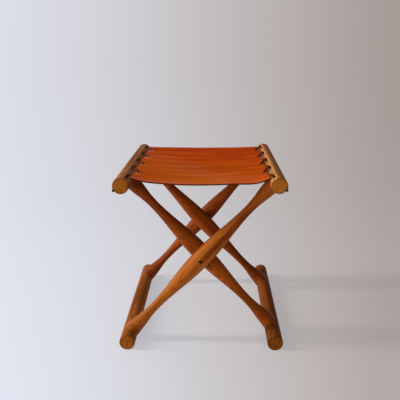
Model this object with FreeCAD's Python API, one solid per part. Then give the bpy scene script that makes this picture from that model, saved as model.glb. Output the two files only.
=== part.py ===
import FreeCAD, Part
import math
import os

from FreeCAD import Vector

# Camp stool: two turned hardwood frames cross on a pair of pivot bolts, and a leather seat is
# laced to the two top rails. Millimetres. X runs across the stool, Y along its rails, Z up, and
# the origin is on the floor under the middle. The outer frame carries the right-hand (+X) top
# rail. Each frame is modelled with its legs upright and its pivot at the origin, then leaned over.
# The inner frame and everything on its rails is the outer frame's pattern mirrored in X.

# Frames
RAIL_LENGTH = 430.0
RAIL_SPACING = 323.0
RAIL_RISE = 351.0
RAIL_RADIUS = 17.0
RAIL_RIM = 2.0
BASE_FLAT_WIDTH = 8.0
OUTER_LEG_Y = 162.0
INNER_LEG_Y = 122.0

# Turned leg: distance from the pivot and radius, the same towards both rails
SHAFT = ((0.0, 20.0), (40.0, 18.6), (86.0, 14.0), (124.0, 10.6), (152.0, 9.6), (181.0, 11.3), (200.0, 14.2))
# Its flared end: distance, half width across the rail and half width along the rail
FLARE = (
    (210.0, 15.3, 16.8),
    (217.0, 15.9, 21.0),
    (222.0, 16.2, 26.5),
    (228.0, 16.3, 30.5),
    (238.5, 16.4, 33.0),
)
TENON_RADIUS = 8.0
TENON_SHORT_OF_CENTRE = 3.5
TENON_ROOT = 212.0

# Lacing side of a top rail
PLANED_ANGLE = 128.0
PLANED_DISTANCE = 15.5
PLANER_SIZE = (20.0, 40.0)
SLOT_PITCH = 90.0
SLOT_COUNT = 5
SLOT_LENGTH = 32.0
SLOT_WIDTH = 5.0
SLOT_OFFSET = 3.2
CUTTER_REACH = 30.0
POCKET_WIDTH = 15.6
POCKET_LENGTH = 36.0
POCKET_START = 9.0
ROD_RADIUS = 3.0
ROD_LENGTH = 426.0
ROD_REACH = 17.6
ROD_CLEARANCE = 0.1

# Pivots
PIVOT_GAP = 2.0
PLANING_BLOCK = (60.0, 16.0, 120.0)
SPACER_THICKNESS = 1.8
SPACER_RADIUS = 11.0
SHANK_RADIUS = 3.0
RUNNING_CLEARANCE = 0.05
HEAD_RADIUS = 4.0
HEAD_HEIGHT = 4.0
HEAD_RECESS = 1.0
HEAD_SEAT_RADIUS = 4.3
NUT_FACE_Y = 113.5
END_GAP = 0.1
END_WASHER_RADIUS = 7.0
END_WASHER_THICKNESS = 1.4
RECESS_OVERRUN = 10.0
NUT_ACROSS_FLATS = 10.0
NUT_THICKNESS = 4.5
SHANK_IN_NUT = 5.0
PLUG_RADIUS = 7.5
PLUG_END_Y = 106.5

# Leather seat
SEAT_HALF_WIDTH = 145.0
SEAT_HALF_LENGTH = 190.0
LEATHER_THICKNESS = 3.0
SEAT_EDGE_RISE = 11.2
FRONT_SAG = 13.0
BACK_SAG = 2.0
SCALLOP_DEPTH = 3.5
SCALLOP_LENGTH = 60.0
LACE_HOLE_INSET = 10.5
LACE_HOLE_RADIUS = 3.0
LACE_HOLE_LEAD = 5.0

# Lace: a loop's corner points are counted from the middle of its rod
LACE_RADIUS = 1.5
LACE_SPREAD = 11.0
MOUTH_REACH = 18.5
LOOP_BEFORE_ROD = -8.3
LOOP_BESIDE_ROD = (-1.8, 8.5, 5.9)
LOOP_BEHIND_ROD = (6.4, 3.8, 3.8)
LACE_CLEARANCE = 0.35
EDGE_OVER_AHEAD = 9.0
EDGE_UNDER_BEHIND = (17.0, 11.0)
EDGE_UNDER_RISE = (-4.2, -0.4)
EDGE_UNDER_OUT = (0.4, 2.3)
STRAND_START_GAP = 2.2
KNOT_RADIUS = 3.3
KNOT_REACH = 17.8
ARC_SHARE = 0.45

X_AXIS = Vector(1, 0, 0)
Y_AXIS = Vector(0, 1, 0)
Z_AXIS = Vector(0, 0, 1)
ORIGIN = Vector(0, 0, 0)

HALF_LEG = math.hypot(RAIL_SPACING, RAIL_RISE) / 2
LEAN = math.degrees(math.atan2(RAIL_SPACING, RAIL_RISE))
BOTTOM_RAIL_Z = math.sqrt(RAIL_RADIUS ** 2 - (BASE_FLAT_WIDTH / 2) ** 2)
TOP_RAIL_Z = BOTTOM_RAIL_Z + RAIL_RISE
PIVOT_Z = BOTTOM_RAIL_Z + RAIL_RISE / 2
PIVOT_MID_Y = (OUTER_LEG_Y + INNER_LEG_Y) / 2
SLOT_Z = HALF_LEG + SLOT_OFFSET
SCALLOP_RADIUS = ((SCALLOP_LENGTH / 2) ** 2 + SCALLOP_DEPTH ** 2) / (2 * SCALLOP_DEPTH)
SLOTS_Y = [SLOT_PITCH * (index - (SLOT_COUNT - 1) / 2) for index in range(SLOT_COUNT)]
SCALLOPS_Y = [y + SLOT_PITCH / 2 for y in SLOTS_Y[:-1]]
HOLES_Y = [y - LACE_HOLE_LEAD for y in SCALLOPS_Y]


def leaned(shape):
    """Take a shape from the upright frame to its place on the outer frame."""
    placed = shape.copy()
    placed.rotate(ORIGIN, Y_AXIS, LEAN)
    placed.translate(Vector(0, 0, PIVOT_Z))
    return placed


def leaned_point(point):
    """Take a point from the upright frame to its place on the outer frame."""
    turn = FreeCAD.Rotation(Y_AXIS, LEAN)
    return turn.multVec(point) + Vector(0, 0, PIVOT_Z)


def mirrored(shape):
    """The same thing on the other side of the stool."""
    return shape.mirror(ORIGIN, X_AXIS)


def y_cylinder(radius, y_from, y_to, x=0.0, z=0.0):
    """A round bar along the rails, between two Y values."""
    low = min(y_from, y_to)
    return Part.makeCylinder(radius, abs(y_to - y_from), Vector(x, low, z), Y_AXIS)


def slot_cutter(x_from, x_to, y, z, length, width):
    """A through slot along X with round ends, its long side along Y."""
    half = (length - width) / 2
    radius = width / 2
    corners = [Vector(x_from, y + a * half, z + b * radius) for a, b in ((-1, -1), (1, -1), (1, 1), (-1, 1))]
    ends = [Vector(x_from, y + a * (half + radius), z) for a in (1, -1)]
    edges = [
        Part.LineSegment(corners[0], corners[1]).toShape(),
        Part.Arc(corners[1], ends[0], corners[2]).toShape(),
        Part.LineSegment(corners[2], corners[3]).toShape(),
        Part.Arc(corners[3], ends[1], corners[0]).toShape(),
    ]
    return Part.Face(Part.Wire(edges)).extrude(Vector(x_to - x_from, 0, 0))


# Legs


def leg_section(distance, across, along):
    """One cross-section of a leg, wider along the rail than across it."""
    ring = Part.Ellipse(ORIGIN, along, across).toShape()
    ring.rotate(ORIGIN, Z_AXIS, 90)
    ring.translate(Vector(0, 0, distance))
    return Part.Wire([ring])


def leg_blank():
    """The turned leg, flared at both ends and reaching both rail centres."""
    upper = [(distance, radius, radius) for distance, radius in SHAFT] + list(FLARE)
    lower = [(-distance, across, along) for distance, across, along in reversed(upper[1:])]
    return Part.makeLoft([leg_section(*station) for station in lower + upper], True)


def tenon(side):
    """The round end that is glued into a rail, stopping short of the rail's centre."""
    length = HALF_LEG - TENON_SHORT_OF_CENTRE - TENON_ROOT
    return Part.makeCylinder(TENON_RADIUS, length, Vector(0, 0, side * TENON_ROOT), Vector(0, 0, side))


def upright_leg():
    """A leg coped round both rails, with its two tenons, before the pivot is cut."""
    leg = leg_blank()
    for side in (-1, 1):
        leg = leg.cut(y_cylinder(RAIL_RADIUS, -OUTER_LEG_Y, OUTER_LEG_Y, z=side * HALF_LEG))
    ends = [tenon(side) for side in (-1, 1)]
    leg = leg.fuse(ends)
    width = 4 * SHAFT[0][1]
    keep = Part.makeBox(width, 2 * OUTER_LEG_Y, 2 * HALF_LEG, Vector(-width / 2, -OUTER_LEG_Y, -HALF_LEG))
    return largest_solid(leg.common(keep))


def largest_solid(shape):
    """The main solid of a cut, without its offcuts."""
    return max(shape.Solids, key=lambda solid: solid.Volume)


def planing_block(y_middle):
    """A wide block used to plane a face across a leg at its pivot."""
    width, depth, height = PLANING_BLOCK
    return Part.makeBox(width, depth, height, Vector(-width / 2, y_middle - depth / 2, -height / 2))


def outer_leg(leg, side):
    """An outer leg: planed on its inner face, bored and counterbored for the bolt."""
    placed = leg.translated(Vector(0, side * OUTER_LEG_Y, 0))
    planed_y = PIVOT_MID_Y + PIVOT_GAP / 2
    head_seat_y = OUTER_LEG_Y + SHAFT[0][1] - HEAD_RECESS - HEAD_HEIGHT
    placed = placed.cut(planing_block(side * (planed_y - PLANING_BLOCK[1] / 2)))
    placed = placed.cut(y_cylinder(SHANK_RADIUS, side * planed_y, side * head_seat_y))
    recess_y = head_seat_y + RECESS_OVERRUN
    placed = placed.cut(y_cylinder(HEAD_SEAT_RADIUS, side * head_seat_y, side * recess_y))
    return largest_solid(leaned(placed))


def inner_leg(leg, side):
    """An inner leg: planed on its outer face, bored to run on the bolt, counterbored for the nut."""
    placed = leg.translated(Vector(0, side * INNER_LEG_Y, 0))
    planed_y = PIVOT_MID_Y - PIVOT_GAP / 2
    bore = SHANK_RADIUS + RUNNING_CLEARANCE
    placed = placed.cut(planing_block(side * (planed_y + PLANING_BLOCK[1] / 2)))
    placed = placed.cut(y_cylinder(bore, side * NUT_FACE_Y, side * planed_y))
    placed = placed.cut(y_cylinder(PLUG_RADIUS, side * plug_cutter_y(), side * NUT_FACE_Y))
    return largest_solid(mirrored(leaned(placed)))


def plug_cutter_y():
    """Where the counterbore's cutter starts, clear of the inner face of an inner leg."""
    return INNER_LEG_Y - SHAFT[0][1] - RECESS_OVERRUN


def pivot_plug(leg, side):
    """The wooden plug over a nut, turned flush with the inner leg that it is glued into."""
    placed = leg.translated(Vector(0, side * INNER_LEG_Y, 0))
    plug = placed.common(y_cylinder(PLUG_RADIUS, side * plug_cutter_y(), side * PLUG_END_Y))
    return largest_solid(mirrored(leaned(plug)))


# Rails


def rail_blank():
    """A straight round bar with softened rims, along Y at the origin."""
    bar = y_cylinder(RAIL_RADIUS, -RAIL_LENGTH / 2, RAIL_LENGTH / 2)
    rims = [edge for edge in bar.Edges if isinstance(edge.Curve, Part.Circle)]
    return bar.makeFillet(RAIL_RIM, rims)


def mortises(leg_y, side):
    """The two blind holes that take the tenons of one frame's legs, for its rail at +Z or -Z."""
    depth = HALF_LEG - TENON_SHORT_OF_CENTRE - TENON_ROOT
    return [
        Part.makeCylinder(TENON_RADIUS, depth, Vector(0, y, side * TENON_ROOT), Vector(0, 0, side))
        for y in (-leg_y, leg_y)
    ]


def planed_face_cutter():
    """A block whose face planes the strip of a top rail that faces the seat."""
    depth, width = PLANER_SIZE
    corner = Vector(PLANED_DISTANCE, -RAIL_LENGTH, -width / 2)
    block = Part.makeBox(depth, 2 * RAIL_LENGTH, width, corner)
    block.rotate(ORIGIN, Y_AXIS, -PLANED_ANGLE - LEAN)
    block.translate(Vector(0, 0, HALF_LEG))
    return block


def top_rail(leg_y):
    """A top rail in the upright frame: mortises, planed strip, lace slots, pockets and rod groove."""
    rail = rail_blank().translated(Vector(0, 0, HALF_LEG))
    cutters = mortises(leg_y, 1)
    cutters.append(planed_face_cutter())
    groove = y_cylinder(ROD_RADIUS + ROD_CLEARANCE, -RAIL_LENGTH, RAIL_LENGTH, x=ROD_REACH, z=SLOT_Z)
    cutters.append(groove)
    for y in SLOTS_Y:
        cutters.append(slot_cutter(-CUTTER_REACH, CUTTER_REACH, y, SLOT_Z, SLOT_LENGTH, SLOT_WIDTH))
        cutters.append(slot_cutter(POCKET_START, CUTTER_REACH, y, SLOT_Z, POCKET_LENGTH, POCKET_WIDTH))
    return rail.cut(cutters)


def bottom_rail(leg_y):
    """A bottom rail in its place on the outer frame, with a narrow flat to stand on."""
    rail = rail_blank().translated(Vector(0, 0, -HALF_LEG))
    rail = leaned(rail.cut(mortises(leg_y, -1)))
    corner = Vector(-RAIL_SPACING / 2 - 2 * RAIL_RADIUS, -RAIL_LENGTH, -RAIL_RADIUS)
    floor = Part.makeBox(4 * RAIL_RADIUS, 2 * RAIL_LENGTH, RAIL_RADIUS, corner)
    return rail.cut(floor)


# Pivot hardware, fixed to the outer legs


def pivot_bolt(side):
    """A cheese-head bolt through both legs, its head below the face of the outer leg."""
    head_seat_y = OUTER_LEG_Y + SHAFT[0][1] - HEAD_RECESS - HEAD_HEIGHT
    tip_y = nut_seat_y() - SHANK_IN_NUT
    shank = y_cylinder(SHANK_RADIUS, side * tip_y, side * head_seat_y, z=PIVOT_Z)
    head = y_cylinder(HEAD_RADIUS, side * head_seat_y, side * (head_seat_y + HEAD_HEIGHT), z=PIVOT_Z)
    return shank.fuse(head).removeSplitter()


def washer(side, radius, y_from, y_to):
    """A flat washer that fits the bolt's shank."""
    disc = y_cylinder(radius, side * y_from, side * y_to, z=PIVOT_Z)
    return disc.cut(y_cylinder(SHANK_RADIUS, side * (y_from - 1), side * (y_to + 1), z=PIVOT_Z))


def spacer_washer(side):
    """The washer between the two legs."""
    half = SPACER_THICKNESS / 2
    return washer(side, SPACER_RADIUS, PIVOT_MID_Y - half, PIVOT_MID_Y + half)


def nut_seat_y():
    """Where the nut bears on the end washer."""
    return NUT_FACE_Y - END_GAP - END_WASHER_THICKNESS


def end_washer(side):
    """The washer under the nut."""
    return washer(side, END_WASHER_RADIUS, nut_seat_y(), NUT_FACE_Y - END_GAP)


def pivot_nut(side):
    """A hexagon nut on the bolt's end."""
    corner_radius = NUT_ACROSS_FLATS / math.sqrt(3)
    turns = [math.radians(60 * k) for k in range(7)]
    corners = [Vector(corner_radius * math.cos(turn), 0, corner_radius * math.sin(turn)) for turn in turns]
    hexagon = Part.Face(Part.makePolygon(corners)).extrude(Vector(0, -NUT_THICKNESS, 0))
    nut = hexagon.cut(y_cylinder(SHANK_RADIUS, -2 * NUT_THICKNESS, NUT_THICKNESS))
    if side < 0:
        nut = nut.mirror(ORIGIN, Y_AXIS)
    return largest_solid(nut.translated(Vector(0, side * nut_seat_y(), PIVOT_Z)))


# Seat


def leather_height(x, y):
    """Height of the leather's middle layer: straight along Y, sagging across X."""
    share = (y + SEAT_HALF_LENGTH) / (2 * SEAT_HALF_LENGTH)
    sag = FRONT_SAG + (BACK_SAG - FRONT_SAG) * share
    return TOP_RAIL_Z + SEAT_EDGE_RISE - sag * (1 - (x / SEAT_HALF_WIDTH) ** 2)


def leather_section(y):
    """The outline of the right half of the leather at one Y."""
    stations = (0.0, SEAT_HALF_WIDTH / 2, SEAT_HALF_WIDTH)
    half = LEATHER_THICKNESS / 2
    over = [Vector(x, y, leather_height(x, y) + half) for x in stations]
    under = [Vector(x, y, leather_height(x, y) - half) for x in stations]
    edges = [
        Part.Arc(*over).toShape(),
        Part.LineSegment(over[2], under[2]).toShape(),
        Part.Arc(*reversed(under)).toShape(),
        Part.LineSegment(under[0], over[0]).toShape(),
    ]
    return Part.Wire(edges)


def upright_cylinder(radius, x, y):
    """A tall cutter that passes right through the leather."""
    return Part.makeCylinder(radius, 2 * RAIL_RADIUS, Vector(x, y, TOP_RAIL_Z - RAIL_RADIUS))


def scallop_depth(y):
    """How far the leather's side edge lies inside its full width at one Y."""
    nearest = min(abs(y - middle) for middle in SCALLOPS_Y)
    inside = math.sqrt(max(SCALLOP_RADIUS ** 2 - nearest ** 2, 0)) - (SCALLOP_RADIUS - SCALLOP_DEPTH)
    return max(inside, 0)


def leather_half():
    """The right half of the leather, its edge scalloped between the slots and punched for its lace."""
    sections = [leather_section(-SEAT_HALF_LENGTH), leather_section(SEAT_HALF_LENGTH)]
    sheet = Part.makeLoft(sections, True, True)
    hole_x = SEAT_HALF_WIDTH - LACE_HOLE_INSET
    holes = [upright_cylinder(LACE_HOLE_RADIUS, hole_x, y) for y in HOLES_Y]
    scallop_x = SEAT_HALF_WIDTH - SCALLOP_DEPTH + SCALLOP_RADIUS
    scallops = [upright_cylinder(SCALLOP_RADIUS, scallop_x, y) for y in SCALLOPS_Y]
    return sheet.cut(holes + scallops)


# Lace


def rounded_path(points):
    """Straight runs joined by tangent arcs through a list of corner points."""
    edges = []
    radii = []
    start = points[0]
    for before, corner, after in zip(points, points[1:], points[2:]):
        run_in = (corner - before).Length
        run_out = (after - corner).Length
        reach = ARC_SHARE * min(run_in, run_out)
        direction_in = (corner - before).normalize()
        direction_out = (after - corner).normalize()
        half_turn = direction_in.getAngle(direction_out) / 2
        radius = reach / math.tan(half_turn)
        enter = corner - direction_in * reach
        leave = corner + direction_out * reach
        inward = (direction_out - direction_in).normalize()
        crown = corner + inward * (radius / math.cos(half_turn) - radius)
        edges.append(Part.LineSegment(start, enter).toShape())
        edges.append(Part.Arc(enter, crown, leave).toShape())
        radii.append(radius)
        start = leave
    edges.append(Part.LineSegment(start, points[-1]).toShape())
    return Part.Wire(edges), radii


def lace_tube(name, points):
    """A round lace along a list of corner points."""
    path, radii = rounded_path(points)
    ring = Part.Wire([Part.Circle(points[0], points[1] - points[0], LACE_RADIUS).toShape()])
    tube = path.makePipeShell([ring], True, False)
    expected = math.pi * LACE_RADIUS ** 2 * path.Length
    share = tube.Volume / expected
    print(f"{name}: length {path.Length:.1f}, smallest radius {min(radii):.1f}, volume share {share:.3f}")
    return tube


def lace_loop(index):
    """One loop in the upright frame: down a slot, round the rod and back up the same slot."""
    half_loop = [
        Vector(-MOUTH_REACH - ROD_REACH, LACE_SPREAD, 0.0),
        Vector(LOOP_BEFORE_ROD, LACE_SPREAD, 0.0),
        Vector(*LOOP_BESIDE_ROD),
        Vector(*LOOP_BEHIND_ROD),
    ]
    other_half = [Vector(p.x, -p.y, -p.z) for p in reversed(half_loop)]
    middle = Vector(ROD_REACH, SLOTS_Y[index], SLOT_Z)
    points = [middle + p for p in half_loop + other_half]
    return lace_tube(f"loop {index}", points)


def stopper_knot(side):
    """The knot at one end of a lace, sitting on the mouth of the outermost slot."""
    y = side * (SLOTS_Y[-1] + LACE_SPREAD)
    return Part.makeSphere(KNOT_RADIUS, Vector(-KNOT_REACH, y, SLOT_Z))


def lace_loops():
    """Every loop on the right-hand top rail, with a knot at each end of the lace."""
    loops = [leaned(lace_loop(index)) for index in range(SLOT_COUNT)]
    loops[0] = loops[0].fuse(leaned(stopper_knot(-1))).removeSplitter()
    loops[-1] = loops[-1].fuse(leaned(stopper_knot(1))).removeSplitter()
    return Part.makeCompound([largest_solid(loop) for loop in loops])


def lace_strand(index):
    """One strand: from a slot over the leather to a hole, and back under it to the next slot."""
    hole_y = HOLES_Y[index]
    hole_x = SEAT_HALF_WIDTH - LACE_HOLE_INSET
    stand_off = LEATHER_THICKNESS / 2 + LACE_RADIUS + LACE_CLEARANCE
    mouth = leaned_point(Vector(-MOUTH_REACH, 0, SLOT_Z))
    high_mouth = Vector(mouth.x, SLOTS_Y[index + 1] - LACE_SPREAD, mouth.z)
    low_mouth = Vector(mouth.x, SLOTS_Y[index] + LACE_SPREAD, mouth.z)
    edge_over = edge_point(high_mouth.y - EDGE_OVER_AHEAD, 0, stand_off + LACE_CLEARANCE)
    over = Vector(hole_x, hole_y, leather_height(hole_x, hole_y) + stand_off)
    under = Vector(hole_x, hole_y, leather_height(hole_x, hole_y) - stand_off)
    edge_under = [
        edge_point(low_mouth.y + behind, out, rise)
        for behind, out, rise in zip(EDGE_UNDER_BEHIND, EDGE_UNDER_OUT, EDGE_UNDER_RISE)
    ]
    start = high_mouth + (edge_over - high_mouth).normalize() * STRAND_START_GAP
    end = low_mouth + (edge_under[-1] - low_mouth).normalize() * STRAND_START_GAP
    return lace_tube(f"strand {index}", [start, edge_over, over, under, *edge_under, end])


def edge_point(y, out, rise):
    """A point beside the leather's side edge: so far out from it, and so far above its middle layer."""
    x = SEAT_HALF_WIDTH - scallop_depth(y)
    return Vector(x + out, y, leather_height(x, y) + rise)


def lace_strands():
    """Every strand on the right-hand side of the seat."""
    return Part.makeCompound([lace_strand(index) for index in range(len(HOLES_Y))])


def lace_rod():
    """The slim rod along the outside of a top rail that the lace loops pass round."""
    return leaned(y_cylinder(ROD_RADIUS, -ROD_LENGTH / 2, ROD_LENGTH / 2, x=ROD_REACH, z=SLOT_Z))


def build_nodes():
    """Every piece of the stool, by name."""
    leg = upright_leg()
    nodes = {
        "top_rail_right": leaned(top_rail(OUTER_LEG_Y)),
        "bottom_rail_left": bottom_rail(OUTER_LEG_Y),
        "top_rail_left": mirrored(leaned(top_rail(INNER_LEG_Y))),
        "bottom_rail_right": mirrored(bottom_rail(INNER_LEG_Y)),
        "seat_leather_right": leather_half(),
        "lace_loops_right": lace_loops(),
        "lace_strands_right": lace_strands(),
        "lace_rod_right": lace_rod(),
    }
    for name in ("seat_leather", "lace_loops", "lace_strands", "lace_rod"):
        nodes[f"{name}_left"] = mirrored(nodes[f"{name}_right"])
    for place, side in (("front", -1), ("back", 1)):
        nodes[f"outer_leg_{place}"] = outer_leg(leg, side)
        nodes[f"inner_leg_{place}"] = inner_leg(leg, side)
        nodes[f"pivot_bolt_{place}"] = pivot_bolt(side)
        nodes[f"spacer_washer_{place}"] = spacer_washer(side)
        nodes[f"end_washer_{place}"] = end_washer(side)
        nodes[f"pivot_nut_{place}"] = pivot_nut(side)
        nodes[f"pivot_plug_{place}"] = pivot_plug(leg, side)
    return nodes


def main():
    os.makedirs("parts", exist_ok=True)
    for name, shape in build_nodes().items():
        shape.exportStep(f"parts/{name}.step")
        print(name, shape.ShapeType, len(shape.Solids), round(shape.Volume), shape.isValid())


main()
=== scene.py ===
import math

import bmesh
import bpy
from mathutils import Matrix, Vector, noise


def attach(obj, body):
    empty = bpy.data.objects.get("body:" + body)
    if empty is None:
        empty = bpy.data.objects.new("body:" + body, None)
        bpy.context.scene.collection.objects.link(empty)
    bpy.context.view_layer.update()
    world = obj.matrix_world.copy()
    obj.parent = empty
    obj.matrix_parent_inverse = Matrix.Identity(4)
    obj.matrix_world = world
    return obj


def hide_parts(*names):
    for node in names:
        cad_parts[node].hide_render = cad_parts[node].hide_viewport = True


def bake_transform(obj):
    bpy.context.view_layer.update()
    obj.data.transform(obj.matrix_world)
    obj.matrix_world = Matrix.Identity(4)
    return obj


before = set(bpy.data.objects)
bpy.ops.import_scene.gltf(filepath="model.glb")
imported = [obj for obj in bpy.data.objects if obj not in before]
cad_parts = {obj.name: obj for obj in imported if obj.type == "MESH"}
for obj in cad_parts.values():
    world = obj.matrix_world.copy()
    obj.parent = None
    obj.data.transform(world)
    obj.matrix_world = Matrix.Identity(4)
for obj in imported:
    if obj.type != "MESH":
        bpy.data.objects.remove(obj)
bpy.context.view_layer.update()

# Metres, in the same frame as the CAD model: X across the stool, Y along its rails, Z up.

# Driving dimensions, the same as the CAD model's
RAIL_SPACING = 0.323
RAIL_RISE = 0.351
RAIL_RADIUS = 0.017
RAIL_LENGTH = 0.430
BASE_FLAT_WIDTH = 0.008
SLOT_PITCH = 0.090
SLOT_COUNT = 5
SLOT_OFFSET = 0.0032
PLANED_ANGLE = math.radians(128)
PLANED_DISTANCE = 0.0155
ROD_REACH = 0.0176
SEAT_HALF_WIDTH = 0.145
SEAT_HALF_LENGTH = 0.190
LEATHER_THICKNESS = 0.003
SEAT_EDGE_RISE = 0.0112
FRONT_SAG = 0.013
BACK_SAG = 0.002
SCALLOP_DEPTH = 0.0035
SCALLOP_LENGTH = 0.060
LACE_HOLE_INSET = 0.0105
LACE_HOLE_RADIUS = 0.003
LACE_HOLE_LEAD = 0.005
LACE_RADIUS = 0.0015
LACE_SPREAD = 0.011
MOUTH_REACH = 0.0185
LOOP_BEFORE_ROD = -0.0083
LOOP_BESIDE_ROD = (-0.0018, 0.0085, 0.0059)
LOOP_BEHIND_ROD = (0.0064, 0.0038, 0.0038)
LACE_CLEARANCE = 0.00035
EDGE_OVER_AHEAD = 0.009
EDGE_UNDER_BEHIND = (0.017, 0.011)
EDGE_UNDER_RISE = (-0.0042, -0.0004)
EDGE_UNDER_OUT = (0.0004, 0.0023)
KNOT_RADIUS = 0.0033
KNOT_REACH = 0.0178

# What only the picture shows
LEATHER_CELL = 0.0025
LEATHER_ROUNDING = 0.0005
# Radius of the painted highlight rings round the left-hand holes
GLINT_RIM_RADIUS = 0.0046
CORNER_HANG_RIGHT = 0.0058
CORNER_HANG_LEFT = 0.0018
CORNER_MIDDLE = 0.118
CORNER_WIDTH = 0.036
RING_SPACING = 0.0034
LACE_PLIES = 3
LACE_PITCH = 0.011
LACE_STEP = 0.0007

HALF_LEG = math.hypot(RAIL_SPACING, RAIL_RISE) / 2
LEAN = math.atan2(RAIL_SPACING, RAIL_RISE)
BOTTOM_RAIL_Z = math.sqrt(RAIL_RADIUS ** 2 - (BASE_FLAT_WIDTH / 2) ** 2)
TOP_RAIL_Z = BOTTOM_RAIL_Z + RAIL_RISE
PIVOT_Z = BOTTOM_RAIL_Z + RAIL_RISE / 2
SLOT_Z = HALF_LEG + SLOT_OFFSET
SLOTS_Y = [SLOT_PITCH * (index - (SLOT_COUNT - 1) / 2) for index in range(SLOT_COUNT)]
SCALLOPS_Y = [y + SLOT_PITCH / 2 for y in SLOTS_Y[:-1]]
HOLES_Y = [y - LACE_HOLE_LEAD for y in SCALLOPS_Y]
SCALLOP_RADIUS = ((SCALLOP_LENGTH / 2) ** 2 + SCALLOP_DEPTH ** 2) / (2 * SCALLOP_DEPTH)
LEAN_TURN = Matrix.Translation((0, 0, PIVOT_Z)) @ Matrix.Rotation(LEAN, 4, "Y")


# Camera and stage


def make_camera():
    """The view from in front, a little above the seat."""
    data = bpy.data.cameras.new("camera")
    data.sensor_width = 36.0
    data.lens = 52.2
    camera = bpy.data.objects.new("camera", data)
    bpy.context.scene.collection.objects.link(camera)
    pitch, yaw, roll = math.radians(14.80), math.radians(-1.535), math.radians(-0.44)
    turn = Matrix.Rotation(-yaw, 4, "Z") @ Matrix.Rotation(math.pi / 2 - pitch, 4, "X")
    place = Matrix.Translation((0.0310, -1.3553, 0.6402))
    camera.matrix_world = place @ turn @ Matrix.Rotation(roll, 4, "Z")
    bpy.context.scene.camera = camera


def add_area_light(name, place, target, width, height, energy, colour):
    """A soft oblong light that points at a target."""
    data = bpy.data.lights.new(name, "AREA")
    data.shape = "RECTANGLE"
    data.size = width
    data.size_y = height
    data.energy = energy
    data.color = colour
    light = bpy.data.objects.new(name, data)
    light.location = place
    light.rotation_mode = "QUATERNION"
    light.rotation_quaternion = (Vector(target) - Vector(place)).to_track_quat("-Z", "Y")
    bpy.context.scene.collection.objects.link(light)


def make_lights():
    """A tall narrow key straight from the left and low, and a broad weak fill from the front."""
    add_area_light("key", (-5.0, -0.1, 2.5), (0, 0, 0.2), 0.7, 3.4, 300.0, (1.0, 0.985, 0.96))
    add_area_light("fill", (-1.5, -3.0, 0.75), (0, 0, 0.2), 1.8, 1.2, 39.0, (1.0, 0.96, 0.92))


def make_world():
    """A dim even sky for the light, that looks pale where it is seen past the edge of the stage."""
    world = bpy.data.worlds.new("world")
    world.use_nodes = True
    tree = world.node_tree
    background = tree.nodes["Background"]
    background.inputs["Color"].default_value = (0.84, 0.83, 0.85, 1)
    background.inputs["Strength"].default_value = 0.28
    seen = tree.nodes.new("ShaderNodeBackground")
    seen.inputs["Color"].default_value = (0.60, 0.59, 0.62, 1)
    rays = tree.nodes.new("ShaderNodeLightPath")
    choice = tree.nodes.new("ShaderNodeMixShader")
    tree.links.new(rays.outputs["Is Camera Ray"], choice.inputs[0])
    tree.links.new(background.outputs[0], choice.inputs[1])
    tree.links.new(seen.outputs[0], choice.inputs[2])
    tree.links.new(choice.outputs[0], tree.nodes["World Output"].inputs["Surface"])
    bpy.context.scene.world = world
    bpy.context.scene.view_settings.view_transform = "Standard"


def make_stage():
    """A pale floor that curves up into a backdrop."""
    mesh = bpy.data.meshes.new("floor")
    bm = bmesh.new()
    half_width = 6.0
    bend_start, bend, bend_steps = 0.9, 1.6, 16
    profile = [(-4.0, 0.0), (bend_start, 0.0)]
    for step in range(1, bend_steps + 1):
        angle = math.pi / 2 * step / bend_steps
        profile.append((bend_start + bend * math.sin(angle), bend * (1 - math.cos(angle))))
    profile.append((bend_start + bend, 5.0))
    rows = [[bm.verts.new((x, y, z)) for x in (-half_width, half_width)] for y, z in profile]
    for low, high in zip(rows, rows[1:]):
        bm.faces.new((low[0], low[1], high[1], high[0]))
    bm.to_mesh(mesh)
    bm.free()
    for face in mesh.polygons:
        face.use_smooth = True
    floor = bpy.data.objects.new("floor", mesh)
    bpy.context.scene.collection.objects.link(floor)
    floor.data.materials.append(floor_material())


# Material helpers


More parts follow.
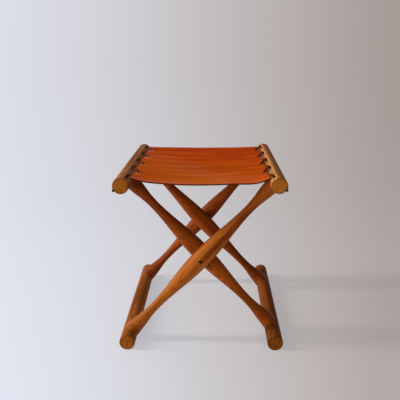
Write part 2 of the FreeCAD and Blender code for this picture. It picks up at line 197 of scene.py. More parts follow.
class Nodes:
    """Short calls for building a material's node tree."""

    def __init__(self, name):
        self.material = bpy.data.materials.new(name)
        self.material.use_nodes = True
        self.tree = self.material.node_tree
        self.shader = self.tree.nodes["Principled BSDF"]

    def add(self, kind, settings=None, **inputs):
        node = self.tree.nodes.new(kind)
        for key, value in (settings or {}).items():
            setattr(node, key, value)
        for key, value in inputs.items():
            self.put(node, key, value)
        return node

    def put(self, node, key, value):
        """Set or link an input. The key is its name with _ for spaces, or i and its number."""
        if key[0] == "i" and key[1:].isdigit():
            socket = node.inputs[int(key[1:])]
        else:
            socket = node.inputs[key.replace("_", " ")]
        if isinstance(value, bpy.types.NodeSocket):
            self.tree.links.new(value, socket)
        else:
            socket.default_value = value

    def place(self):
        return self.add("ShaderNodeTexCoord").outputs["Object"]

    def mapped(self, vector, scale=(1, 1, 1), rotation=(0, 0, 0), location=(0, 0, 0)):
        inputs = {"Vector": vector, "Scale": scale, "Rotation": rotation, "Location": location}
        return self.add("ShaderNodeMapping", **inputs).outputs["Vector"]

    def noise(self, vector, scale=1.0, detail=3.0, roughness=0.55):
        node = self.add("ShaderNodeTexNoise", Vector=vector, Scale=scale, Detail=detail, Roughness=roughness)
        return node.outputs["Fac"]

    def math(self, operation, a, b=0.0):
        return self.add("ShaderNodeMath", {"operation": operation}, i0=a, i1=b).outputs[0]

    def ramp(self, factor, *stops):
        """A colour ramp through (position, colour) stops."""
        node = self.add("ShaderNodeValToRGB", Fac=factor)
        elements = node.color_ramp.elements
        while len(elements) < len(stops):
            elements.new(0.5)
        for element, (position, colour) in zip(elements, stops):
            element.position = position
            element.color = (*colour, 1)
        return node.outputs["Color"]

    def band(self, value, low, high):
        """0 at low and below, 1 at high and above."""
        node = self.add("ShaderNodeMapRange", {"interpolation_type": "SMOOTHSTEP"}, Value=value)
        node.inputs["From Min"].default_value = low
        node.inputs["From Max"].default_value = high
        return node.outputs["Result"]

    def band_linear(self, value, low, high):
        """The same, in a straight line."""
        node = self.add("ShaderNodeMapRange", Value=value)
        node.inputs["From Min"].default_value = low
        node.inputs["From Max"].default_value = high
        return node.outputs["Result"]

    def spread(self, value, low, high):
        """A 0 to 1 value spread between two numbers."""
        node = self.add("ShaderNodeMapRange", Value=value)
        node.inputs["To Min"].default_value = low
        node.inputs["To Max"].default_value = high
        return node.outputs["Result"]

    def mix(self, factor, a, b, blend="MIX"):
        node = self.add("ShaderNodeMix", {"data_type": "RGBA", "blend_type": blend})
        self.put(node, "Factor", factor)
        self.put(node, "i6", a if isinstance(a, bpy.types.NodeSocket) else (*a, 1))
        self.put(node, "i7", b if isinstance(b, bpy.types.NodeSocket) else (*b, 1))
        return node.outputs[2]

    def bump(self, height, strength, distance, normal=None):
        node = self.add("ShaderNodeBump", Height=height, Strength=strength, Distance=distance)
        if normal is not None:
            self.put(node, "Normal", normal)
        return node.outputs["Normal"]

    def finish(self, **inputs):
        for key, value in inputs.items():
            self.put(self.shader, key, value)
        return self.material


def floor_material():
    """Matte paper with painted light falloff: painted cool white on the left to warm grey on the right,
    painted brighter near the front, and glowing so cast shadows stay faint.
    """
    n = Nodes("floor_paper_painted_falloff")
    place = n.place()
    cloud = n.noise(place, scale=1.5, detail=2.0)
    axes = n.add("ShaderNodeSeparateXYZ", Vector=place).outputs
    depth = n.math("ADD", n.math("MULTIPLY", axes["Y"], 0.967), n.math("MULTIPLY", axes["Z"], -0.2555))
    fan = n.math("DIVIDE", axes["X"], n.math("MAXIMUM", n.math("ADD", depth, 1.474), 0.9))
    wobble = n.math("MULTIPLY", n.math("SUBTRACT", cloud, 0.5), 0.01)
    # Painted light falloff: the ramp paints the paper brighter and cooler on the left, where the key light
    # stands, and darker and warmer to the right.
    share = n.band_linear(n.math("ADD", fan, wobble), -0.36, 0.36)
    colour = n.ramp(
        share,
        (0.0, (0.668, 0.690, 0.755)),
        (0.17, (0.657, 0.662, 0.718)),
        (0.34, (0.624, 0.616, 0.650)),
        (0.46, (0.588, 0.566, 0.582)),
        (0.70, (0.514, 0.470, 0.462)),
        (0.93, (0.436, 0.378, 0.358)),
    )
    # Painted light: the nearer paper is painted brighter.
    near_painted_brightening = n.band_linear(depth, 1.9, -0.4)
    colour = n.mix(near_painted_brightening, colour, n.mix(1.0, colour, (1.165, 1.20, 1.225), "MULTIPLY"))
    # The paper glows with this painted colour and only a small share takes real light, so cast shadows on it
    # stay faint.
    dimmed = n.mix(1.0, colour, (0.40, 0.40, 0.40), "MULTIPLY")
    return n.finish(
        Base_Color=dimmed,
        Roughness=0.95,
        Specular_IOR_Level=0.0,
        Emission_Color=colour,
        Emission_Strength=0.62,
    )


# Wood


def grain_space(n, axis, seed):
    """Object coordinates turned so that the piece's length runs along Z, moved by a seed."""
    turns = {
        "outer": (0, -LEAN, 0),
        "inner": (0, LEAN, 0),
        "rail": (math.pi / 2, 0, 0),
    }
    moved = n.mapped(n.place(), location=(0, 0, -PIVOT_Z))
    turned = n.mapped(moved, rotation=turns[axis])
    return turned, n.mapped(turned, location=(0.37 * seed, 0.53 * seed, 0.71 * seed))


def wood_material(name, axis, seed, tones, pith, streak=None, rail=None, gloss=0.10):
    """Oiled hardwood as a solid texture: rings about a pith line, pores, streaks and broad shade."""
    light, middle, dark = tones
    n = Nodes(name)
    local, space = grain_space(n, axis, seed)
    drift = n.noise(n.mapped(space, scale=(9, 9, 2.5)), detail=2.0)
    wander = n.math("MULTIPLY", n.math("SUBTRACT", drift, 0.5), 0.03)
    axes = n.add("ShaderNodeSeparateXYZ", Vector=local).outputs
    across = n.math("ADD", n.math("SUBTRACT", axes["X"], pith[0]), wander)
    aside = n.math("ADD", n.math("SUBTRACT", axes["Y"], pith[1]), wander)
    square = n.math("ADD", n.math("MULTIPLY", across, across), n.math("MULTIPLY", aside, aside))
    span = n.math("SQRT", square)
    phase = n.math("MULTIPLY", span, 2 * math.pi / RING_SPACING)
    rings = n.math("ADD", n.math("MULTIPLY", n.math("SINE", phase), 0.5), 0.5)
    rings = n.math("POWER", rings, 1.6)
    fibre = n.noise(n.mapped(space, scale=(260, 260, 7)), detail=4.0, roughness=0.65)
    streaks = n.noise(n.mapped(space, scale=(70, 70, 2.2)), detail=3.0)
    broad = n.noise(n.mapped(space, scale=(14, 14, 5)), detail=2.0)
    pores = n.noise(n.mapped(space, scale=(900, 900, 45)), detail=1.0)
    pore_mask = n.band(pores, 0.60, 0.70)
    colour = n.mix(n.band(broad, 0.30, 0.70), middle, light)
    colour = n.mix(n.math("MULTIPLY", rings, 0.38), colour, dark)
    colour = n.mix(n.math("MULTIPLY", n.band(streaks, 0.50, 0.72), 0.65), colour, dark)
    colour = n.mix(n.math("MULTIPLY", n.band(fibre, 0.45, 0.75), 0.40), colour, middle)
    if rail:
        colour = rail_faces(n, colour, tones, *rail, fibre)
    else:
        # Legs darken toward both ends; at the upper ends, under the seat, this is painted shade.
        ends_darker_and_seat_shade = n.band(n.math("ABSOLUTE", n.math("ADD", axes["Z"], 0.03)), 0.05, 0.17)
        colour = n.mix(n.math("MULTIPLY", ends_darker_and_seat_shade, 0.50), colour, middle_of(middle, dark))
    if streak:
        colour = heartwood(n, colour, axes, space, wander, streak, tuple(1.15 * c for c in dark))
    colour = n.mix(n.math("MULTIPLY", pore_mask, 0.55), colour, tuple(0.35 * c for c in dark))
    roughness = n.spread(n.band(streaks, 0.3, 0.7), 0.36, 0.52)
    height = n.math("SUBTRACT", n.math("MULTIPLY", rings, 0.25), pore_mask)
    return n.finish(
        Base_Color=colour,
        Roughness=roughness,
        Normal=n.bump(height, 0.35, 0.00018),
        Specular_IOR_Level=gloss,
        Specular_Tint=(1.0, 0.66, 0.38, 1),
    )


def heartwood(n, colour, axes, space, wander, streak, tone):
    """A dark ragged streak along the grain: from one height to another, at an offset, so wide."""
    low, high, offset, width = streak
    line = n.math("ABSOLUTE", n.math("SUBTRACT", n.math("ADD", axes["X"], wander), offset))
    inside = n.math("SUBTRACT", 1.0, n.band(line, width * 0.4, width))
    starts = n.band(axes["Z"], low, low + 0.03)
    ends = n.math("SUBTRACT", 1.0, n.band(axes["Z"], high - 0.04, high))
    ragged = n.band(n.noise(n.mapped(space, scale=(260, 260, 6)), detail=3.0), 0.20, 0.46)
    share = n.math("MULTIPLY", n.math("MULTIPLY", inside, ragged), n.math("MULTIPLY", starts, ends))
    return n.mix(n.math("MULTIPLY", share, 0.85), colour, tone)


def middle_of(one, other):
    """The tone half way between two."""
    return tuple((a + b) / 2 for a, b in zip(one, other))


def rail_faces(n, colour, tones, side, height, speckle, strip_tone_and_painted_light, fibre):
    """What sets a rail apart: speckled ends with a dark rim and, on a top rail, a paler planed strip, partly
    painted highlight.
    """
    light, _, dark = tones
    axes = n.add("ShaderNodeSeparateXYZ", Vector=n.place()).outputs
    outward = n.math("SUBTRACT", n.math("MULTIPLY", axes["X"], side), RAIL_SPACING / 2)
    upward = n.math("SUBTRACT", axes["Z"], height)
    if height == TOP_RAIL_Z:
        outward_part = n.math("MULTIPLY", outward, math.cos(PLANED_ANGLE))
        reach = n.math("ADD", outward_part, n.math("MULTIPLY", upward, math.sin(PLANED_ANGLE)))
        strip = n.band(reach, PLANED_DISTANCE - 0.0012, PLANED_DISTANCE - 0.0004)
        # The planed strip is painted tan: partly its own paler wood, partly painted highlight; its share is
        # set per rail, lower on the left rail as painted shade.
        tan_and_painted_highlight = n.mix(n.band(fibre, 0.35, 0.7), (0.52, 0.235, 0.078), (0.40, 0.165, 0.045))
        colour = n.mix(n.math("MULTIPLY", strip, strip_tone_and_painted_light), colour, tan_and_painted_highlight)
    square = n.math("ADD", n.math("MULTIPLY", outward, outward), n.math("MULTIPLY", upward, upward))
    rim = n.band(n.math("SQRT", square), 0.0125, 0.0165)
    on_end = n.band(n.math("ABSOLUTE", axes["Y"]), RAIL_LENGTH / 2 - 0.0015, RAIL_LENGTH / 2 - 0.0005)
    flecks = n.band(n.noise(n.mapped(n.place(), scale=(300, 1, 300)), detail=2.0), 0.50, 0.62)
    colour = n.mix(n.math("MULTIPLY", on_end, 0.35), colour, tuple(1.20 * c for c in light))
    colour = n.mix(n.math("MULTIPLY", n.math("MULTIPLY", on_end, flecks), speckle), colour, dark)
    return n.mix(n.math("MULTIPLY", n.math("MULTIPLY", on_end, rim), 0.6), colour, dark)


def paint(node, material):
    """Give a CAD node its material."""
    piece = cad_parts[node]
    piece.data.materials.clear()
    piece.data.materials.append(material)


def dress_wood():
    """Every leg and rail gets its own piece of timber."""
    golden = ((0.49, 0.150, 0.014), (0.34, 0.080, 0.006), (0.130, 0.018, 0.002))
    brown = ((0.370, 0.082, 0.006), (0.235, 0.042, 0.003), (0.070, 0.009, 0.001))
    russet = ((0.330, 0.064, 0.005), (0.210, 0.032, 0.003), (0.065, 0.008, 0.001))
    tawny = ((0.41, 0.128, 0.016), (0.265, 0.070, 0.008), (0.100, 0.022, 0.003))
    honey = ((0.46, 0.152, 0.021), (0.31, 0.084, 0.011), (0.130, 0.030, 0.005))
    umber = ((0.28, 0.080, 0.011), (0.175, 0.044, 0.006), (0.070, 0.015, 0.002))
    legs = (
        ("outer", "front", golden, (0.03, 0.05), (-0.01, 0.18, 0.0032, 0.0080)),
        ("outer", "back", russet, (-0.03, 0.05), None),
        ("inner", "front", brown, (0.04, 0.02), None),
        ("inner", "back", russet, (-0.02, -0.06), None),
    )
    for seed, (frame_name, place, tones, pith, streak) in enumerate(legs, start=1):
        material = wood_material(f"timber_{frame_name}_{place}", frame_name, seed, tones, pith, streak)
        paint(f"{frame_name}_leg_{place}", material)
        if frame_name == "inner":
            paint(f"pivot_plug_{place}", material)
    rails = (
        # A top rail's last number is its strip's share of tan, which holds painted light: the right strip
        # faces the key light and is painted paler than the left.
        ("top", "right", honey, (0.158, -0.178), (1, TOP_RAIL_Z, 0.45, 0.90)),
        ("top", "left", tawny, (-0.166, -0.172), (-1, TOP_RAIL_Z, 0.45, 0.80)),
        ("bottom", "left", tawny, (-0.158, 0.170), (-1, BOTTOM_RAIL_Z, 0.80, 0.0)),
        ("bottom", "right", umber, (0.166, 0.180), (1, BOTTOM_RAIL_Z, 0.80, 0.0)),
    )
    for seed, (level, side, tones, pith, rail) in enumerate(rails, start=len(legs) + 1):
        material = wood_material(f"timber_{level}_{side}", "rail", seed, tones, pith, rail=rail, gloss=0.010)
        paint(f"{level}_rail_{side}", material)


# Metal


def metal_material(name, base, roughness):
    n = Nodes(name)
    spots = n.noise(n.mapped(n.place(), scale=(500, 500, 500)), detail=3.0)
    tint = n.mix(n.band(spots, 0.45, 0.7), base, tuple(0.45 * c for c in base))
    rough = n.spread(spots, roughness - 0.1, roughness + 0.15)
    scratch = n.noise(n.mapped(n.place(), scale=(2500, 300, 2500)), detail=2.0)
    return n.finish(Base_Color=tint, Metallic=1.0, Roughness=rough, Normal=n.bump(scratch, 0.15, 0.00005))


def dress_metal():
    """Browned bolts, steel nuts and washers, and blackened lace rods."""
    browned = metal_material("browned_bolt", (0.050, 0.019, 0.006), 0.58)
    steel = metal_material("dark_steel", (0.13, 0.11, 0.09), 0.42)
    blackened = metal_material("blackened_rod", (0.045, 0.030, 0.022), 0.48)
    for place in ("front", "back"):
        paint(f"pivot_bolt_{place}", browned)
        for node in ("spacer_washer", "end_washer", "pivot_nut"):
            paint(f"{node}_{place}", steel)
    for side in ("left", "right"):
        paint(f"lace_rod_{side}", blackened)


# Leather


def leather_height(x, y):
    """Height of the leather's middle layer: straight along Y, sagging across X."""
    share = (y + SEAT_HALF_LENGTH) / (2 * SEAT_HALF_LENGTH)
    sag = FRONT_SAG + (BACK_SAG - FRONT_SAG) * share
    return TOP_RAIL_Z + SEAT_EDGE_RISE - sag * (1 - (x / SEAT_HALF_WIDTH) ** 2)


def scallop_depth(y):
    """How far the leather's side edge lies inside its full width at one Y."""
    nearest = min(abs(y - middle) for middle in SCALLOPS_Y)
    inside = math.sqrt(max(SCALLOP_RADIUS ** 2 - nearest ** 2, 0)) - (SCALLOP_RADIUS - SCALLOP_DEPTH)
    return max(inside, 0)


def leather_material():
    """Cognac leather: pull lines across the seat, a painted sheen band and front lip, painted highlights on
    the left-hand hole rims and a darker back edge.
    """
    n = Nodes("cognac_leather")
    place = n.place()
    axes = n.add("ShaderNodeSeparateXYZ", Vector=place).outputs
    pulls = n.noise(n.mapped(place, scale=(5, 95, 1)), detail=5.0, roughness=0.70)
    broad = n.noise(n.mapped(place, scale=(5, 22, 1), location=(3.1, 1.7, 0)), detail=3.0)
    tawny = n.noise(n.mapped(place, scale=(7, 30, 1), location=(8.3, 4.9, 0)), detail=4.0, roughness=0.65)
    fine = n.noise(n.mapped(place, scale=(16, 260, 1), location=(1.3, 2.2, 0)), detail=3.0)
    colour = n.ramp(
        pulls,
        (0.36, (0.36, 0.028, 0.001)),
        (0.50, (0.54, 0.064, 0.001)),
        (0.64, (0.65, 0.112, 0.003)),
    )
    colour = n.mix(n.math("MULTIPLY", n.band(tawny, 0.48, 0.66), 0.60), colour, (0.44, 0.092, 0.003))
    colour = n.mix(n.math("MULTIPLY", n.band(broad, 0.48, 0.66), 0.50), colour, (0.32, 0.026, 0.001))
    colour = n.mix(n.math("MULTIPLY", n.band(fine, 0.50, 0.68), 0.30), colour, (0.30, 0.024, 0.001))
    toward_corner = n.math("ADD", n.math("MULTIPLY", axes["Y"], -1.0), n.math("MULTIPLY", axes["X"], -0.8))
    fade = n.band_linear(toward_corner, -0.15, 0.18)
    shade = n.ramp(fade, (0.0, (0.94, 0.78, 1.0)), (0.45, (1.0, 0.98, 1.0)), (1.0, (1.0, 1.0, 1.0)))
    colour = n.mix(1.0, colour, shade, "MULTIPLY")
    colour = n.mix(n.math("MULTIPLY", n.band(fade, 0.35, 0.95), 0.42), colour, (0.68, 0.145, 0.010))
    # Painted sheen: a pinkish band slanting from the back left to the front middle and a paler front lip
    # stand in for soft reflections; the right part of the front lip gets none.
    slant = n.math("ADD", axes["Y"], n.math("MULTIPLY", axes["X"], 1.15))
    wavy = n.math("ADD", slant, n.math("MULTIPLY", n.math("SUBTRACT", broad, 0.5), 0.10))
    sheen_band = n.math("SUBTRACT", 1.0, n.band(n.math("ABSOLUTE", n.math("ADD", wavy, 0.085)), 0.015, 0.085))
    front_lip_sheen = n.math("SUBTRACT", 1.0, n.band(axes["Y"], -SEAT_HALF_LENGTH + 0.003, -SEAT_HALF_LENGTH + 0.024))
    corner_without_sheen = n.band(axes["X"], 0.050, 0.120)
    front_lip_sheen = n.math("MULTIPLY", front_lip_sheen, n.math("SUBTRACT", 1.0, corner_without_sheen))
    ruddy = n.band(n.math("SUBTRACT", axes["X"], axes["Y"]), 0.20, 0.33)
    colour = n.mix(n.math("MULTIPLY", ruddy, 0.55), colour, (0.46, 0.050, 0.002))
    patchy = n.band(pulls, 0.38, 0.62)
    # Mix the painted sheen into the colour, broken into patches by the pull lines.
    painted_sheen = n.math("MULTIPLY", n.math("MAXIMUM", n.math("MULTIPLY", sheen_band, 0.4), front_lip_sheen), patchy)
    colour = n.mix(n.math("MULTIPLY", painted_sheen, 0.62), colour, (0.60, 0.155, 0.085))
    # Painted highlight: near-white rings round the left-hand holes.
    colour = n.mix(painted_glint_rims(n, axes), colour, (0.90, 0.84, 0.78))
    rim = n.band(axes["Y"], SEAT_HALF_LENGTH - 0.006, SEAT_HALF_LENGTH - 0.002)
    colour = n.mix(n.math("MULTIPLY", rim, 0.6), colour, (0.16, 0.035, 0.006))
    fine_place = n.mapped(place, scale=(620, 620, 620))
    cells = n.add("ShaderNodeTexVoronoi", {"feature": "DISTANCE_TO_EDGE"}, Vector=fine_place)
    grain = n.band(cells.outputs["Distance"], 0.0, 0.25)
    creases = n.noise(n.mapped(place, scale=(14, 170, 1)), detail=3.0)
    normal = n.bump(grain, 0.10, 0.0002)
    normal = n.bump(creases, 0.30, 0.0010, normal)
    return n.finish(
        Base_Color=colour,
        Roughness=n.spread(n.band(pulls, 0.3, 0.7), 0.40, 0.55),
        Normal=normal,
        Specular_IOR_Level=0.001,
        Specular_Tint=(1.0, 0.55, 0.30, 1),
    )


def painted_glint_rims(n, axes):
    """1 on the rims of the left-hand holes: a painted highlight where the key light from the left glints."""
    along = n.math("DIVIDE", n.math("SUBTRACT", axes["Y"], HOLES_Y[0]), SLOT_PITCH)
    to_hole = n.math("SUBTRACT", n.math("FRACT", n.math("ADD", along, 0.5)), 0.5)
    aside = n.math("MULTIPLY", to_hole, SLOT_PITCH)
    across = n.math("ADD", axes["X"], SEAT_HALF_WIDTH - LACE_HOLE_INSET)
    square = n.math("ADD", n.math("MULTIPLY", across, across), n.math("MULTIPLY", aside, aside))
    reach = n.math("SQRT", square)
    return n.math("SUBTRACT", 1.0, n.band(reach, GLINT_RIM_RADIUS - 0.0003, GLINT_RIM_RADIUS + 0.0003))


def flesh_material():
    n = Nodes("leather_flesh_side")
    fluff = n.noise(n.mapped(n.place(), scale=(900, 900, 900)), detail=3.0)
    colour = n.ramp(fluff, (0.3, (0.20, 0.075, 0.025)), (0.7, (0.32, 0.14, 0.055)))
    return n.finish(Base_Color=colour, Roughness=0.9, Normal=n.bump(fluff, 0.4, 0.0003))


def cut_edge_material():
    n = Nodes("leather_cut_edge")
    layers = n.noise(n.mapped(n.place(), scale=(200, 200, 2600)), detail=2.0)
    colour = n.ramp(layers, (0.35, (0.060, 0.010, 0.003)), (0.7, (0.130, 0.024, 0.007)))
    return n.finish(
        Base_Color=colour,
        Roughness=0.7,
        Normal=n.bump(layers, 0.3, 0.0002),
        Specular_IOR_Level=0.03,
        Specular_Tint=(1.0, 0.6, 0.4, 1),
    )


def core_material():
    n = Nodes("leather_undyed_core")
    fibres = n.noise(n.mapped(n.place(), scale=(1500, 1500, 900)), detail=3.0)
    colour = n.ramp(fibres, (0.3, (0.66, 0.46, 0.34)), (0.7, (0.86, 0.70, 0.58)))
    return n.finish(Base_Color=colour, Roughness=0.9, Normal=n.bump(fibres, 0.3, 0.0002))


def leather_face_kind(face):
    """Which of the leather's surfaces a face belongs to: 0 grain, 1 flesh, 2 cut edge, 3 wall of a hole."""
    if face.normal.z > 0.5:
        return 0
    if face.normal.z < -0.5:
        return 1
    hole_x = SEAT_HALF_WIDTH - LACE_HOLE_INSET
    nearest = min(math.hypot(abs(face.center.x) - hole_x, face.center.y - y) for y in HOLES_Y)
    return 3 if nearest < 2 * LACE_HOLE_RADIUS else 2


def make_leather():
    """The seat: one thick sheet, punched along both sides, that sags and ripples a little."""
    columns = round(2 * SEAT_HALF_WIDTH / LEATHER_CELL)
    rows = round(2 * SEAT_HALF_LENGTH / LEATHER_CELL)
    bm = bmesh.new()
    grid = []
    for row in range(rows + 1):
        y = -SEAT_HALF_LENGTH + 2 * SEAT_HALF_LENGTH * row / rows
        half_width = SEAT_HALF_WIDTH - scallop_depth(y)
        line = []
        for column in range(columns + 1):
            x = half_width * (2 * column / columns - 1)
            line.append(bm.verts.new((x, y, leather_height(x, y) + ripple(x, y))))
        grid.append(line)
    for low, high in zip(grid, grid[1:]):
        for a, b, c, d in zip(low, low[1:], high[1:], high):
            bm.faces.new((a, b, c, d))
    mesh = bpy.data.meshes.new("seat_leather")
    bm.to_mesh(mesh)
    bm.free()
    seat = bpy.data.objects.new("seat_leather", mesh)
    bpy.context.scene.collection.objects.link(seat)
    thicken(seat, LEATHER_THICKNESS)
    punch(seat)
    soften(seat, LEATHER_ROUNDING)
    for material in (leather_material(), flesh_material(), cut_edge_material(), core_material()):
        seat.data.materials.append(material)
    for face in seat.data.polygons:
        face.use_smooth = True
        face.material_index = leather_face_kind(face)
    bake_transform(seat)
    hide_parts("seat_leather_right", "seat_leather_left")


def ripple(x, y):
    """Small rises and hollows: pull lines, ends that roll down, and front corners that hang fuller."""
    inside = 1 - (x / SEAT_HALF_WIDTH) ** 4
    pull_lines = 0.0012 * noise.noise(Vector((x * 4, y * 28, 0.7)))
    hollows = 0.0008 * noise.noise(Vector((x * 9, y * 9, 5.1)))
    front_roll = 0.0012 * max(0.0, (-y - 0.160) / 0.030) ** 2
    back_roll = 0.0006 * max(0.0, (y - 0.170) / 0.020) ** 2
    near_corner = math.exp(-((abs(x) - CORNER_MIDDLE) / CORNER_WIDTH) ** 2)
    held_by_lace = 1 - 0.6 * (x / SEAT_HALF_WIDTH) ** 14
    toward_front = max(0.0, (-y - 0.06) / 0.13) ** 5
    depth = CORNER_HANG_RIGHT if x > 0 else CORNER_HANG_LEFT
    hang = depth * near_corner * held_by_lace * toward_front
    return inside * (pull_lines + hollows - front_roll - back_roll) - hang


def apply_modifiers(piece):
    """Make the evaluated mesh the piece's own."""
    graph = bpy.context.evaluated_depsgraph_get()
    made = bpy.data.meshes.new_from_object(piece.evaluated_get(graph))
    piece.modifiers.clear()
    piece.data = made


def thicken(piece, thickness):
    solid = piece.modifiers.new("thickness", "SOLIDIFY")
    solid.thickness = thickness
    solid.offset = 0.0
    apply_modifiers(piece)


def punch(piece):
    """Cut the lace holes."""
    bm = bmesh.new()
    for side in (-1, 1):
        for y in HOLES_Y:
            x = side * (SEAT_HALF_WIDTH - LACE_HOLE_INSET)
            place = Matrix.Translation((x, y, leather_height(x, y)))
            bmesh.ops.create_cone(
                bm,
                cap_ends=True,
                segments=20,
                radius1=LACE_HOLE_RADIUS,
                radius2=LACE_HOLE_RADIUS,
                depth=0.02,
                matrix=place,
            )
    mesh = bpy.data.meshes.new("punches")
    bm.to_mesh(mesh)
    bm.free()
    punches = bpy.data.objects.new("punches", mesh)
    bpy.context.scene.collection.objects.link(punches)
    cut = piece.modifiers.new("holes", "BOOLEAN")
    cut.object = punches
    cut.operation = "DIFFERENCE"
    cut.solver = "EXACT"
    apply_modifiers(piece)
    bpy.data.objects.remove(punches)


def soften(piece, width):
    """Round the sharp edges."""
    bevel = piece.modifiers.new("edges", "BEVEL")
    bevel.width = width
    bevel.segments = 2
    bevel.limit_method = "ANGLE"
    bevel.angle_limit = math.radians(50)
    apply_modifiers(piece)


# Lace


def smooth_line(points, resolution=10):
    """Points along the smooth spline that has the given points as its control points."""
    data = bpy.data.curves.new("route", "CURVE")
    data.dimensions = "3D"
    spline = data.splines.new("NURBS")
    spline.points.add(len(points) - 1)
    for control, point in zip(spline.points, points):
        control.co = (*point, 1)
    spline.order_u = 3
    spline.use_endpoint_u = True
    spline.resolution_u = resolution
    route = bpy.data.objects.new("route", data)
    bpy.context.scene.collection.objects.link(route)
    mesh = bpy.data.meshes.new_from_object(route)
    line = [v.co.copy() for v in mesh.vertices]
    bpy.data.objects.remove(route)
    bpy.data.meshes.remove(mesh)
    return line


def evenly(line, step):
    """The same line with points at an even spacing."""
    lengths = [0.0]
    for a, b in zip(line, line[1:]):
        lengths.append(lengths[-1] + (b - a).length)
    count = max(2, round(lengths[-1] / step))
    made = []
    index = 0
    for k in range(count + 1):
        wanted = lengths[-1] * k / count
        while index < len(line) - 2 and lengths[index + 1] < wanted:
            index += 1
        span = lengths[index + 1] - lengths[index]
        share = (wanted - lengths[index]) / span if span else 0.0
        made.append(line[index].lerp(line[index + 1], share))
    return made


def sections_along(line):
    """Two directions across a line at each of its points, that turn as little as they can."""
    behind = line[:1] + line[:-1]
    ahead = line[1:] + line[-1:]
    tangents = [(b - a).normalized() for a, b in zip(behind, ahead)]
    normal = tangents[0].orthogonal().normalized()
    sections = []
    for tangent in tangents:
        normal = (normal - tangent * normal.dot(tangent)).normalized()
        sections.append((normal.copy(), tangent.cross(normal)))
    return sections


def twisted_cord(bm, line, radius, sides=8):
    """A laid cord along a line: plies that wind round it."""
    line = evenly(line, LACE_STEP)
    ply_radius = radius * 0.56
    offset = radius - ply_radius
    sections = sections_along(line)
    step = (line[1] - line[0]).length
    for ply in range(LACE_PLIES):
        rings = []
        for index, (point, (side, up)) in enumerate(zip(line, sections)):
            turn = 2 * math.pi * (ply / LACE_PLIES + index * step / LACE_PITCH)
            centre = point + (side * math.cos(turn) + up * math.sin(turn)) * offset
            ring = []
            for k in range(sides):
                angle = 2 * math.pi * k / sides
                outward = side * math.cos(angle) + up * math.sin(angle)
                ring.append(bm.verts.new(centre + outward * ply_radius))
            rings.append(ring)
        for low, high in zip(rings, rings[1:]):
            for k in range(sides):
                bm.faces.new((low[k], low[(k + 1) % sides], high[(k + 1) % sides], high[k]))
        bm.faces.new(list(reversed(rings[0])))
        bm.faces.new(rings[-1])


def loop_route(index):
    """A loop's points on the upright frame: down a slot, round the rod and back up."""
    half_loop = [
        Vector((-MOUTH_REACH - ROD_REACH, LACE_SPREAD, 0.0)),
        Vector((LOOP_BEFORE_ROD, LACE_SPREAD, 0.0)),
        Vector(LOOP_BESIDE_ROD),
        Vector(LOOP_BEHIND_ROD),
    ]
    other_half = [Vector((p.x, -p.y, -p.z)) for p in reversed(half_loop)]
    middle = Vector((ROD_REACH, SLOTS_Y[index], SLOT_Z))
    return [LEAN_TURN @ (middle + p) for p in half_loop + other_half]


def edge_point(y, out, rise):
    """A point beside the leather's side edge: so far out from it, and so far above its middle layer."""
    x = SEAT_HALF_WIDTH - scallop_depth(y)
    return Vector((x + out, y, leather_height(x, y) + rise))


def strand_route(index):
    """A strand's points: from a slot over the leather to a hole, and back under it to the next slot."""
    hole_y = HOLES_Y[index]
    hole_x = SEAT_HALF_WIDTH - LACE_HOLE_INSET
    stand_off = LEATHER_THICKNESS / 2 + LACE_RADIUS + LACE_CLEARANCE
    mouth = LEAN_TURN @ Vector((-MOUTH_REACH, 0, SLOT_Z))
    high_mouth = Vector((mouth.x, SLOTS_Y[index + 1] - LACE_SPREAD, mouth.z))
    low_mouth = Vector((mouth.x, SLOTS_Y[index] + LACE_SPREAD, mouth.z))
    edge_over = edge_point(high_mouth.y - EDGE_OVER_AHEAD, 0, stand_off + LACE_CLEARANCE)
    over = Vector((hole_x, hole_y, leather_height(hole_x, hole_y) + stand_off))
    under = Vector((hole_x, hole_y, leather_height(hole_x, hole_y) - stand_off))
    edge_under = [
        edge_point(low_mouth.y + behind, out, rise)
        for behind, out, rise in zip(EDGE_UNDER_BEHIND, EDGE_UNDER_OUT, EDGE_UNDER_RISE)
    ]
    return [high_mouth, edge_over, over, under, *edge_under, low_mouth]


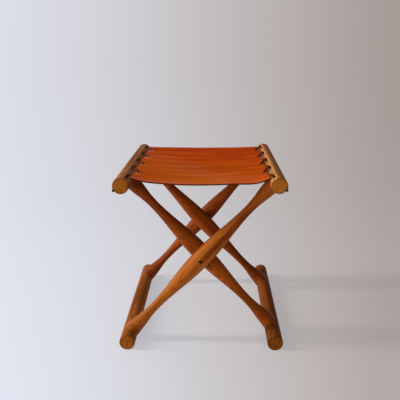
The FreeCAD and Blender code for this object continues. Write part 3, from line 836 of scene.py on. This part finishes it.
def knot_line(centre, steps=60):
    """A small closed overhand knot about a point."""
    made = []
    for k in range(steps + 1):
        t = 2 * math.pi * k / steps
        x = math.sin(t) + 2 * math.sin(2 * t)
        y = math.cos(t) - 2 * math.cos(2 * t)
        z = -1.3 * math.sin(3 * t)
        made.append(centre + Vector((x, y, z)) * (KNOT_RADIUS - LACE_RADIUS) / 3)
    return made


def lace_material():
    n = Nodes("waxed_lace")
    wax = n.noise(n.mapped(n.place(), scale=(700, 700, 700)), detail=3.0)
    colour = n.ramp(wax, (0.3, (0.050, 0.009, 0.001)), (0.7, (0.135, 0.026, 0.003)))
    return n.finish(
        Base_Color=colour,
        Roughness=0.6,
        Normal=n.bump(wax, 0.3, 0.0002),
        Specular_IOR_Level=0.05,
        Specular_Tint=(1.0, 0.6, 0.35, 1),
    )


def lace_piece(name, lines, side, material, body, node):
    """Join cords into one piece on one side of the stool."""
    bm = bmesh.new()
    for line in lines:
        mirrored = [Vector((side * p.x, p.y, p.z)) for p in line]
        twisted_cord(bm, mirrored, LACE_RADIUS)
    bmesh.ops.recalc_face_normals(bm, faces=bm.faces)
    mesh = bpy.data.meshes.new(name)
    bm.to_mesh(mesh)
    bm.free()
    for face in mesh.polygons:
        face.use_smooth = True
    piece = bpy.data.objects.new(name, mesh)
    bpy.context.scene.collection.objects.link(piece)
    mesh.materials.append(material)
    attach(piece, body)
    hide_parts(node)


def make_laces():
    material = lace_material()
    loops = [smooth_line(loop_route(index)) for index in range(SLOT_COUNT)]
    for end in (-1, 1):
        centre = LEAN_TURN @ Vector((-KNOT_REACH, end * (SLOTS_Y[-1] + LACE_SPREAD), SLOT_Z))
        loops.append(knot_line(centre))
    strands = [smooth_line(strand_route(index)) for index in range(len(HOLES_Y))]
    for place, side, rail_body in (("right", 1, "outer_frame"), ("left", -1, "inner_frame")):
        lace_piece(f"lace_in_rail_{place}", loops, side, material, rail_body, f"lace_loops_{place}")
        seat_body = f"seat_{place}"
        lace_piece(f"lace_on_seat_{place}", strands, side, material, seat_body, f"lace_strands_{place}")


make_camera()
make_lights()
make_world()
make_stage()
dress_wood()
dress_metal()
make_leather()
make_laces()
